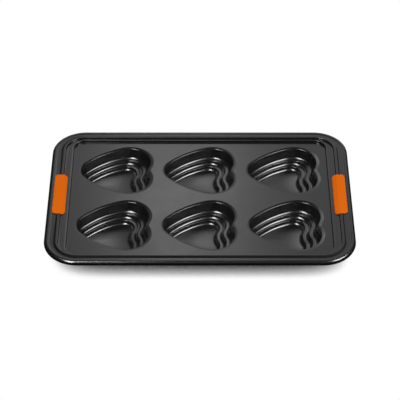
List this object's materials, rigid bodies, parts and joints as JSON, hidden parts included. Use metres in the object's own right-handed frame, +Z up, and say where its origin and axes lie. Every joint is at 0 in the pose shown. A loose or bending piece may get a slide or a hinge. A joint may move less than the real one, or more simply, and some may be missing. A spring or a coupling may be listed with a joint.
{
  "type": "heart cake pan",
  "caption": "Oblong non-stick baking tray with rows of tiered heart-shaped cups, a stepped border, a wired rolled rim and a silicone grip insert at each end.",
  "frame": {"origin": "under the middle of the tray, level with the underside of the cup floors that it rests on", "axes": "+X along the tray's length, from the tips of the hearts towards their lobes; +Y across the tray; +Z up, out of the cups"},
  "size_m": [0.4012, 0.2682, 0.0332],
  "materials": {
    "nonstick_steel": "dark grey semi-gloss non-stick coat on pressed steel",
    "rim_wire": "bare drawn steel wire, hidden inside the rolled rim",
    "orange_silicone": "satin moulded silicone"
  },
  "bodies": {
    "root": {"pan_sheet": "nonstick_steel", "rim_wire": "rim_wire", "left_grip_insert": "orange_silicone", "right_grip_insert": "orange_silicone"}
  },
  "joints": []
}
